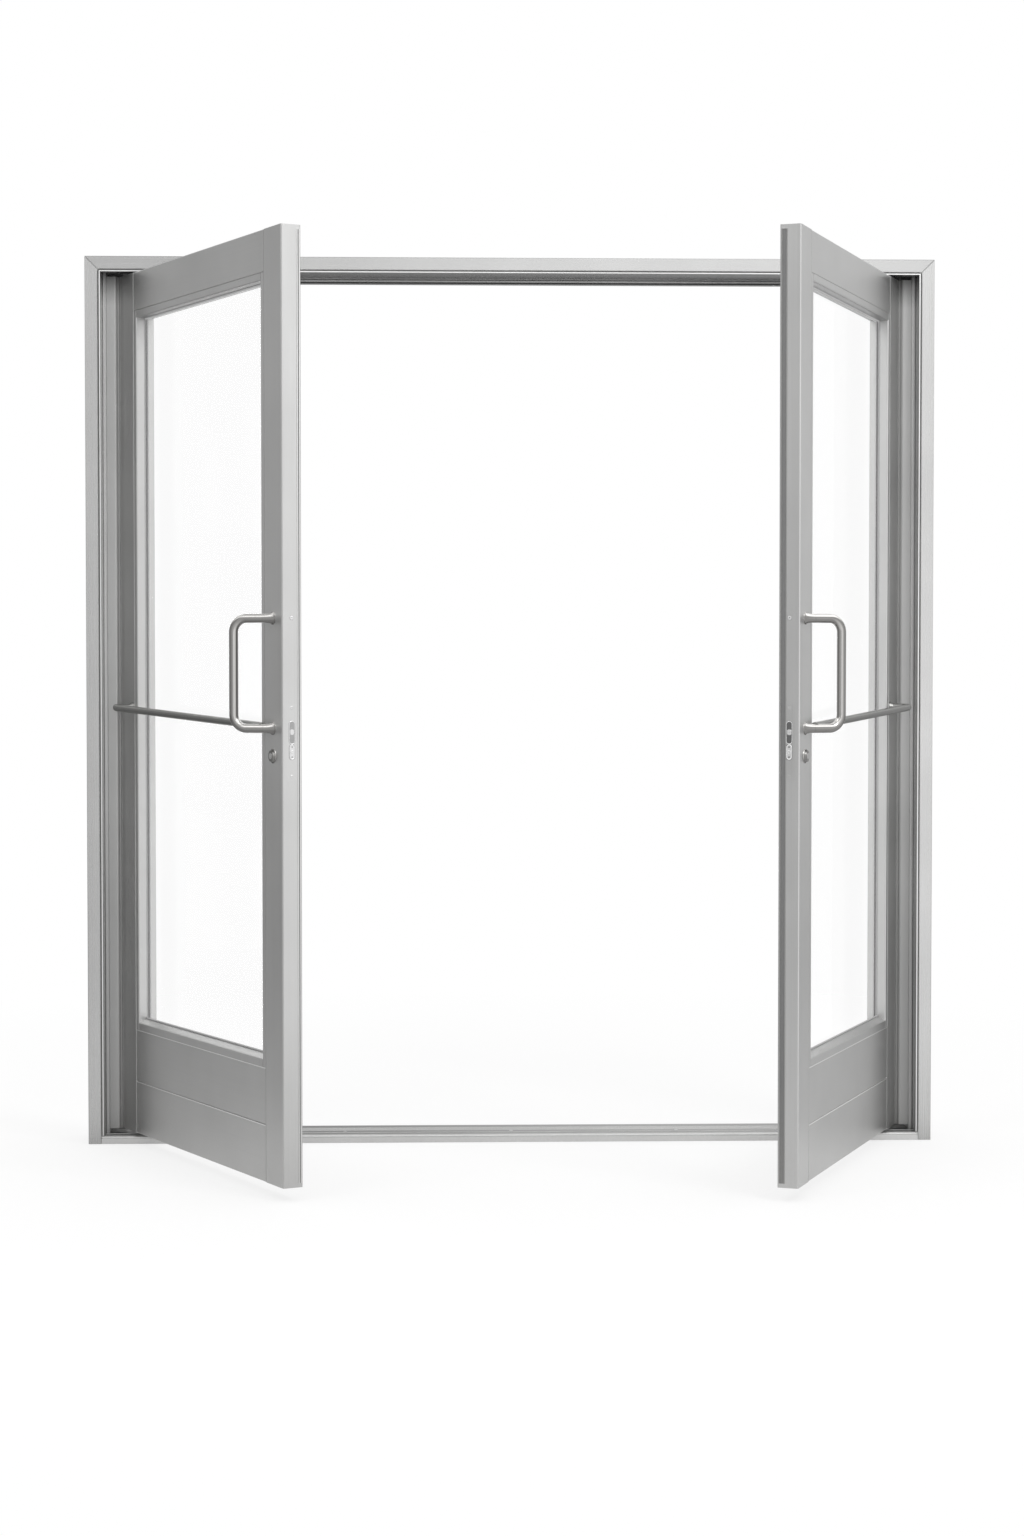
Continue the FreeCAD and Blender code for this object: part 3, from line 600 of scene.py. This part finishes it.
# Rows from the head's rim over its face to the recess, whose outline is a four-lobed curve with
# radius small + more * |cos 2a|^4, down to the recess's floor; across and up span the surface
def screwHead(centre, across, up, radius):
    s = fittingSettings
    centre, across, up = (np.asarray(v, float) for v in (centre, across, up))
    outward = np.cross(across, up)
    angle = np.linspace(0.0, 2.0 * math.pi, s["screwColumns"], endpoint=False)
    circle = np.stack([np.cos(angle), np.sin(angle)], axis=-1)
    recess = circle * (radius * (0.16 + 0.38 * np.abs(np.cos(2.0 * angle)) ** 4))[:, None]
    rise = s["screwRise"]
    rows = [(circle * radius, -0.15), (circle * radius, rise * 0.5), (circle * radius * 0.93, rise * 0.9),
            (circle * radius * 0.75, rise), (recess * 1.1, rise), (recess, rise - 0.06),
            (recess * 0.7, 0.06)]
    return np.stack([centre + flat[:, :1] * across + flat[:, 1:] * up + height * outward
                     for flat, height in rows])


# A rounded rectangle's outline: points of a circle pushed out to four corners, counted round once
def roundedLoop(halfX, halfY, radius, perCorner=7):
    corners = []
    for index, (sx, sy) in enumerate(((1, 1), (-1, 1), (-1, -1), (1, -1))):
        angle = np.linspace(0.0, math.pi / 2.0, perCorner) + index * math.pi / 2.0
        corners.append(np.stack([sx * (halfX - radius) + radius * np.cos(angle),
                                 sy * (halfY - radius) + radius * np.sin(angle)], axis=-1))
    return np.concatenate(corners)


# Rows of one outline, each drawn in by an inset and lifted: (inset, lift) pairs
def raisedPlate(centre, across, up, halfX, halfY, radius, steps):
    centre, across, up = (np.asarray(v, float) for v in (centre, across, up))
    outward = np.cross(across, up)
    rows = []
    for inset, lift in steps:
        loop = roundedLoop(halfX - inset, halfY - inset, max(radius - inset, 0.05))
        rows.append(centre + loop[:, :1] * across + loop[:, 1:] * up + lift * outward)
    return np.stack(rows)


def onEdge(height, lift=0.0):
    return (leaf["lockEdge"] + lift, fittingSettings["edgeY"], height)


# grow widens a size (half width, half height, corner radius) by as much for each
def edgePlate(height, lift, size, steps, grow=(0.0, 0.0, 0.0)):
    return raisedPlate(onEdge(height, lift), edgeAcross, edgeUp, *np.add(size, grow), steps)


def edgeScrew(height, lift, radius):
    return screwHead(onEdge(height, lift), edgeAcross, edgeUp, radius)


def makeEdgeFittings(side):
    s = fittingSettings
    body = side + "_leaf"
    slot = (s["slotHalfWidth"], s["slotHalfHeight"], s["slotHalfWidth"])
    rim = (s["slotHalfWidth"], s["rimHalfHeight"], s["slotHalfWidth"])
    ring = [(0.0, -0.1), (0.0, 0.35), (0.4, 0.55), (1.0, 0.55), (1.4, 0.3), (1.4, -0.1)]
    dish = [(0.0, -0.1), (0.0, 0.6), (0.5, 0.95), (1.2, 0.95), (1.7, 0.6), (2.6, 0.55)]
    boltEnd = [(0.0, 0.0), (0.0, 2.0), (0.5, 2.5), (2.0, 2.7)]
    latchEnd = [(0.0, 0.0), (0.0, 1.0), (0.6, 1.5), (2.0, 1.6)]
    slotFloor = [(0.0, -0.02), (0.0, 0.15), (0.5, 0.2)]
    thin = [(0.0, -0.1), (0.0, 0.12), (0.5, 0.14)]
    bright = [edgePlate(s["rimCentre"], 0.0, rim, ring, (1.5, 0.0, 1.4)),
              edgePlate(s["ovalCentre"], 0.0, s["oval"], dish),
              edgePlate(s["boltCentre"], -s["boltDepth"], s["bolt"], boltEnd),
              edgePlate(s["latchCentre"], -s["boltDepth"], s["latch"], latchEnd),
              edgeScrew(s["ovalCentre"], 0.5, s["ovalScrew"]),
              edgeScrew(s["upperScrewCentre"], 0.0, s["upperScrew"])]
    tubePiece(side + "EdgeFittings", bright, body, edgeSteelLitPerLeaf[side], side, 35.0)
    plateScrews = [edgeScrew(s["plateCentre"] + offset, -0.3, s["plateScrew"])
                   for offset in (-s["plateScrews"], s["plateScrews"])]
    tubePiece(side + "PlateScrews", plateScrews, body, plateSteel, side, 35.0)
    # dark thin sheets of painted shade: in the slot, round the rim and the oval, under the upper screw and in
    # the oval's holes
    dark = [edgePlate(s["slotCentre"], -s["boltDepth"], slot, slotFloor, (-0.1, -0.1, -0.2)),
            edgePlate(s["rimCentre"], 0.0, rim, thin, (2.1, 0.6, 2.0)),
            edgePlate(s["ovalCentre"], 0.0, s["oval"], thin, (0.8, 0.8, 0.7)),
            edgePlate(s["upperScrewCentre"], 0.0, s["upperHollow"], thin)]
    dark += [edgePlate(s["ovalCentre"] + offset, 0.55, s["hole"], thin)
             for offset in (-s["ovalHoles"], s["ovalHoles"])]
    tubePiece(side + "EdgeHollowShades", dark, body, hollowShadeSteel[side], side, 35.0)


# Caps over the bolts that hold the pull and the bar, on the leaf's inner face, and a rounded ring
# round each lock cylinder; profiles are (distance from the face, radius)
def makeFaceFittings(side):
    s = fittingSettings
    body = side + "_leaf"
    pullFoot = pullSettings["base"]
    places = [(pullX, pullFoot), (pullX, pullFoot + pullSettings["centres"]), s["barBase"]]
    r, h = s["capRadius"], s["capRise"]
    dome = [(-0.2, r), (0.8, r), (1.5, r * 0.97), (h * 0.75, r * 0.78), (h * 0.95, r * 0.45), (h, r * 0.05)]
    caps = [turned(dome, (x, leaf["back"], z), (0.0, 1.0, 0.0), s["capColumns"]) for x, z in places]
    tubePiece(side + "BoltCaps", caps, body, cylinderSteel, side, 40.0)
    collar = [(-0.1, 15.4), (0.9, 15.3), (1.5, 14.6), (1.6, 13.2), (0.2, 13.0)]
    rings = [turned(collar, (pullX, face, plugSettings["height"]), (0.0, outward, 0.0), s["collarColumns"])
             for face, outward in ((leaf["front"], -1.0), (leaf["back"], 1.0))]
    tubePiece(side + "CylinderCollars", rings, body, pullSteel, side, 45.0)


# Plastic plugs just inside the open ends of both stiles
plugEndSettings = {"clear": 0.3, "recess": 0.8, "depth": 4.0, "corner": 1.5}


def makeStilePlugs(side):
    s = plugEndSettings
    middleY = (leaf["front"] + leaf["back"]) / 2.0
    halfY = (leaf["back"] - leaf["front"]) / 2.0 - leaf["wall"] - s["clear"]
    halfX = leaf["stile"] / 2.0 - leaf["wall"] - s["clear"]
    steps = [(0.0, -s["depth"]), (0.0, -0.4), (0.4, 0.0), (3.0, 0.0), (4.2, -0.9), (9.0, -0.9), (9.8, -0.4),
             (11.0, -0.4)]
    parts = []
    for middleX in (leaf["hingeEdge"] + leaf["stile"] / 2.0, leaf["lockEdge"] - leaf["stile"] / 2.0):
        above = (middleX, middleY, leaf["top"] - s["recess"])
        below = (middleX, middleY, leaf["bottom"] + s["recess"])
        parts.append(raisedPlate(above, faceAcross, edgeAcross, halfX, halfY, s["corner"], steps))
        parts.append(raisedPlate(below, edgeAcross, faceAcross, halfY, halfX, s["corner"], steps))
    tubePiece(side + "StilePlugs", parts, side + "_leaf", gasketRubber, side, 35.0)


# Meeting strips: an aluminium carrier with two lips, and pile that stands between them with its
# height ruffled by smooth noise along the run
stripSettings = {"left": {"width": 7.0, "pile": 2.0}, "right": {"width": 13.0, "pile": 8.4},
                 "stand": 1.5, "farY": 52.65, "endGap": 9.0, "rows": 420, "seed": 11}


def makeMeetingStrip(side):
    s = stripSettings
    own = s[side]
    low, high = leaf["bottom"] + s["endGap"], leaf["top"] - s["endGap"]
    middle = s["farY"] - own["width"] / 2.0
    halfWidth, halfPile = own["width"] / 2.0, own["pile"] / 2.0
    edge = leaf["lockEdge"]
    section = np.array([(halfWidth, 0.0), (halfWidth, 1.0), (halfWidth - 0.3, 1.3), (halfPile + 0.35, 1.3),
                        (halfPile + 0.1, 1.05), (halfPile + 0.1, 0.35), (-halfPile - 0.1, 0.35),
                        (-halfPile - 0.1, 1.05), (-halfPile - 0.35, 1.3), (-halfWidth + 0.3, 1.3),
                        (-halfWidth, 1.0), (-halfWidth, 0.0)])
    carrier = np.stack([np.stack([edge + section[:, 1], middle + section[:, 0], np.full(len(section), z)],
                                 axis=-1) for z in (low, high)])
    # the carrier is the lit copy on the left leaf and the shaded copy on the right
    carrierPiece = tubePiece(side + "StripCarrier", [carrier], side + "_leaf",
                             carrierLitAndShaded[side], side, 30.0)
    random = np.random.default_rng(s["seed"])
    z = np.linspace(low + 0.5, high - 0.5, s["rows"])
    ruffle = np.convolve(random.normal(size=s["rows"] + 8), np.ones(3) / 3.0, mode="same")[4:-4]
    height = np.clip(s["stand"] * (0.9 + 0.06 * ruffle), 0.9, s["stand"])
    across = np.array([1.0, 0.96, 0.75, 0.35, 0.0, -0.35, -0.75, -0.96, -1.0])
    crown = np.array([0.25, 0.7, 0.9, 0.97, 1.0, 0.97, 0.9, 0.7, 0.25])
    rows = np.stack([edge + height[:, None] * crown, middle + halfPile * across + np.zeros((s["rows"], 1)),
                     np.repeat(z[:, None], len(across), axis=1)], axis=-1)
    tubePiece(side + "StripPile", [rows], side + "_leaf", pileFibre, side, 0.0)
    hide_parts(side + "_meeting_strip")


# Where two extrusions meet the rounded edge of one catches the light, and a thin pale strip paints that
# highlight: along the lower rail's top, the upper rail's top and the hinge stile's inner edge, (x, z, half x,
# half z) each; and the rounded bead of the gasket that stands on the sloped stop below the glass
seamSettings = {"lips": ((458.75, 147.9, 368.0, 0.95), (458.75, 268.5, 368.0, 0.95),
                         (89.3, 1098.0, 0.9, 828.0)), "lipCorner": 0.8,
                "beadFrom": 107.4, "beadTo": 810.1, "beadY": 30.5, "beadHeight": 296.7, "beadRadius": 1.9}


def makeSeams(side):
    s = seamSettings
    steps = [(0.0, -0.1), (0.0, 0.2), (0.25, 0.4), (0.6, 0.45)]
    lips = [raisedPlate((x, leaf["front"], z), faceAcross, edgeUp, halfX, halfZ, s["lipCorner"], steps)
            for x, z, halfX, halfZ in s["lips"]]
    tubePiece(side + "SeamHighlights", lips, side + "_leaf", lipMetal, side, 50.0)
    path = np.array([(x, s["beadY"], s["beadHeight"]) for x in (s["beadFrom"], s["beadTo"])])
    bead = rodAlong(path, s["beadRadius"], (0.0, 0.0, 1.0), 20)
    tubePiece(side + "GasketBead", [bead], side + "_leaf", gasketRubber, side, 50.0)


# Round the frame's face, along both jambs and the head: a dark strip in the groove, a little below the
# face, as painted shade, and a pale strip on the lip as a painted highlight
edgingSettings = {"halfWidth": 985.0, "height": 2057.0, "corner": 0.6,
                  "grooveShade": {"inset": 31.25, "half": 1.15, "floorY": -66.45, "rise": 1.6, "foot": 1.0},
                  "edge": {"inset": 34.1, "half": 1.1, "floorY": -69.85, "rise": 0.3, "foot": 20.0}}


def makeFrameEdging():
    s = edgingSettings
    for key, name, slotName, material in (("grooveShade", "grooveShadeStrip", "seal_rubber", grooveShadeRubber),
                                          ("edge", "lipEdge", "frame_aluminium", lipMetal)):
        own = s[key]
        out, top = s["halfWidth"] - own["inset"], s["height"] - own["inset"]
        tall = (top - own["half"] - own["foot"]) / 2.0
        strips = [(flip * out, own["foot"] + tall, own["half"], tall) for flip in (-1.0, 1.0)]
        strips.append((0.0, top, out + own["half"], own["half"]))
        steps = [(0.0, -0.1), (0.0, own["rise"] * 0.8), (0.3, own["rise"]), (0.6, own["rise"])]
        parts = [raisedPlate((x, own["floorY"], z), faceAcross, edgeUp, halfX, halfZ, s["corner"], steps)
                 for x, z, halfX, halfZ in strips]
        tubePiece(name, parts, "frame", material, None, 40.0)


# Screws of the frame: down each hinge plate on the liner, and along the threshold's flat
frameScrewSettings = {"hingeX": -15.0, "hingeY": 24.0, "hingeRadius": 4.2, "sillRadius": 4.6,
                      "hingeHeights": (110.0, 460.0, 810.0, 1240.0, 1590.0, 1940.0),
                      "sillY": -21.5, "sillTop": 19.05, "sillX": (-780.0, -390.0, 0.0, 390.0, 780.0)}


def makeFrameScrews():
    s = frameScrewSettings
    x, y = leaf["pinX"] + s["hingeX"], leaf["pinY"] + s["hingeY"]
    for side in sides:
        flip = 1.0 if side == "left" else -1.0
        heads = []
        for z in s["hingeHeights"]:
            head = screwHead((x, y, z), edgeAcross, edgeUp, s["hingeRadius"])
            head[..., 0] *= flip
            heads.append(head if flip > 0.0 else head[:, ::-1])
        tubePiece(side + "HingeScrews", heads, "frame", plateSteel, None, 35.0)
    sill = [screwHead((x, s["sillY"], s["sillTop"]), faceAcross, edgeAcross, s["sillRadius"])
            for x in s["sillX"]]
    tubePiece("thresholdScrews", sill, "frame", plateSteel, None, 35.0)


for side in sides:
    makeEdgeFittings(side)
    makeFaceFittings(side)
    makeStilePlugs(side)
    makeMeetingStrip(side)
    makeSeams(side)
makeFrameEdging()
makeFrameScrews()
print("fittings made")


# Camera from the frame's corners and the open leaves; plain studio light, brighter on the right
cameraSettings = {"place": (-0.2105, -6.7176, 1.0958), "yaw": 1.823, "pitch": 1.901, "lens": 66.98}


def makeCamera():
    s = cameraSettings
    data = bpy.data.cameras.new("camera")
    data.lens = s["lens"]
    data.sensor_width = 36.0
    data.clip_end = 100.0
    camera = bpy.data.objects.new("camera", data)
    camera.location = s["place"]
    camera.rotation_euler = (math.radians(90.0 - s["pitch"]), 0.0, math.radians(-s["yaw"]))
    bpy.context.scene.collection.objects.link(camera)
    bpy.context.scene.camera = camera


# The world's across is (direction's x, level) from left to right; its levels change with the
# direction's y and z over the spans
lightSettings = {
    "keyLamp": {"place": (3.2, -4.4, 5.4), "size": 2.2, "energy": 75.0},
    "fillLamp": {"place": (-3.6, -4.0, 4.6), "size": 2.6, "energy": 25.0},
    "aim": (0.0, -0.2, 1.0),
    "world": {"across": ((-1.0, 0.78), (-0.7, 0.56), (-0.4, 0.52), (-0.15, 0.59), (-0.03, 0.66), (0.07, 1.75),
                         (0.2, 0.8), (1.0, 1.12)),
              "behind": 0.7, "behindSpan": (-0.2, 0.35), "high": 2.0, "highSpan": (0.3, 0.8),
              "overhead": 0.8, "overheadSpan": (0.75, 0.97), "diffuse": 0.85},
}


# 1 where a ray comes straight from the camera, or through the glass, and meets the backdrop
def addSeenMask(tree, path):
    through = maths(tree, "SUBTRACT", path["Transparent Depth"], path["Is Glossy Ray"], True)
    straight = maths(tree, "MAXIMUM", path["Is Camera Ray"], path["Is Transmission Ray"])
    return maths(tree, "MAXIMUM", straight, through)


def makeLight():
    for name in ("keyLamp", "fillLamp"):
        s = lightSettings[name]
        data = bpy.data.lights.new(name, "AREA")
        data.size = s["size"]
        data.energy = s["energy"]
        lamp = bpy.data.objects.new(name, data)
        lamp.location = s["place"]
        towards = Vector(lightSettings["aim"]) - lamp.location
        lamp.rotation_euler = towards.to_track_quat("-Z", "Y").to_euler()
        bpy.context.scene.collection.objects.link(lamp)
    s = lightSettings["world"]
    world = bpy.data.worlds.new("studio")
    world.use_nodes = True
    bpy.context.scene.world = world
    tree = world.node_tree
    background = tree.nodes["Background"]
    parts = parted(tree, addNode(tree, "ShaderNodeTexCoord").outputs["Generated"])
    ramp = addNode(tree, "ShaderNodeValToRGB", s0=ranged(tree, parts["X"], -1.0, 1.0))
    peak = max(level for x, level in s["across"])
    stops = ramp.color_ramp.elements
    while len(stops) < len(s["across"]):
        stops.new(0.5)
    for stop, (x, level) in zip(stops, s["across"]):
        stop.position = (x + 1.0) / 2.0
        stop.color = [level / peak] * 3 + [1.0]
    back = ranged(tree, parts["Y"], *s["behindSpan"], peak, peak * s["behind"])
    level = maths(tree, "MULTIPLY", ramp.outputs["Color"], back)
    rise = ranged(tree, parts["Z"], *s["highSpan"], 1.0, s["high"])
    fall = ranged(tree, parts["Z"], *s["overheadSpan"], s["high"], s["overhead"])
    sky = maths(tree, "MULTIPLY", level, maths(tree, "MINIMUM", rise, fall))
    path = addNode(tree, "ShaderNodeLightPath").outputs
    soft = mixValues(tree, path["Is Glossy Ray"], s["diffuse"], sky)
    connect(tree, background, {"Strength": mixValues(tree, addSeenMask(tree, path), soft, 1.0)})
    background.inputs["Color"].default_value = (1.0, 1.0, 1.0, 1.0)


# A pale floor disc: near the door it takes a soft shadow, further out it is the white background;
# what reflections see of it is painted light, a glow that changes across over acrossSpan and in depth over
# depthSpan
floorSettings = {"radius": 30.0, "level": -0.0008, "tone": 0.3, "toneSpread": 0.02, "fadeFrom": 1.4,
                 "fadeTo": 3.2, "nearSeen": 0.71, "nearReflectedGlow": 0.38, "farReflectedGlow": 0.66, "unseen": 0.3,
                 "acrossGlow": (0.66, 1.25), "acrossSpan": (-1.8, 1.8), "depthGlow": (1.22, 0.62),
                 "depthSpan": (-0.38, 0.02), "columns": 96}


def makeFloor():
    s = floorSettings
    columns = s["columns"]
    angle = np.linspace(0.0, 2.0 * math.pi, columns, endpoint=False)
    radii = np.array([0.01, s["fadeTo"], s["radius"]])[:, None]
    ring = np.stack([radii * np.cos(angle), radii * np.sin(angle), np.full((3, columns), s["level"])],
                    axis=-1)
    faces = tubeFaces(3, columns, 0, False) + [list(range(columns))]
    mesh = bpy.data.meshes.new("floor")
    mesh.from_pydata(ring.reshape(-1, 3).tolist(), [], faces)
    floor = bpy.data.objects.new("floor", mesh)
    bpy.context.scene.collection.objects.link(floor)
    material, tree, shader, place = newMaterial("floorPale")
    tree.nodes.remove(shader)
    distance = addNode(tree, "ShaderNodeVectorMath", {"operation": "LENGTH"}, s0=place)
    fade = ranged(tree, distance.outputs["Value"], s["fadeFrom"], s["fadeTo"])
    tones = [[s["tone"] * (1.0 + spread)] * 3 + [1.0] for spread in (-s["toneSpread"], s["toneSpread"])]
    grain = mixColours(tree, noise(tree, place, 60.0, 3.0), *tones)
    dull = addNode(tree, "ShaderNodeBsdfDiffuse", Color=grain)
    path = addNode(tree, "ShaderNodeLightPath").outputs
    seen = addSeenMask(tree, path)
    spot = parted(tree, place)
    # painted light: how brightly reflections see the floor, by place
    reflectedGlowPattern = maths(tree, "MULTIPLY", ranged(tree, spot["X"], *s["acrossSpan"], *s["acrossGlow"]),
                   ranged(tree, spot["Y"], *s["depthSpan"], *s["depthGlow"]))
    nearReflectedLevel = maths(tree, "MULTIPLY", reflectedGlowPattern, s["nearReflectedGlow"])
    farReflectedLevel = maths(tree, "MULTIPLY", reflectedGlowPattern, s["farReflectedGlow"])
    nearDim = mixValues(tree, path["Is Glossy Ray"], s["unseen"], nearReflectedLevel)
    nearGlow = addNode(tree, "ShaderNodeEmission", Strength=mixValues(tree, seen, nearDim, s["nearSeen"]))
    nearMix = addNode(tree, "ShaderNodeAddShader", s0=dull.outputs[0], s1=nearGlow.outputs[0])
    farGlow = addNode(tree, "ShaderNodeEmission", Strength=mixValues(tree, seen, farReflectedLevel, 1.0))
    both = addNode(tree, "ShaderNodeMixShader", s0=fade, s1=nearMix.outputs[0], s2=farGlow.outputs[0])
    connect(tree, tree.nodes["Material Output"], {"Surface": both.outputs[0]})
    mesh.materials.append(material)


makeCamera()
makeLight()
makeFloor()
bpy.context.scene.view_settings.view_transform = "Standard"
print("camera, light and floor made")
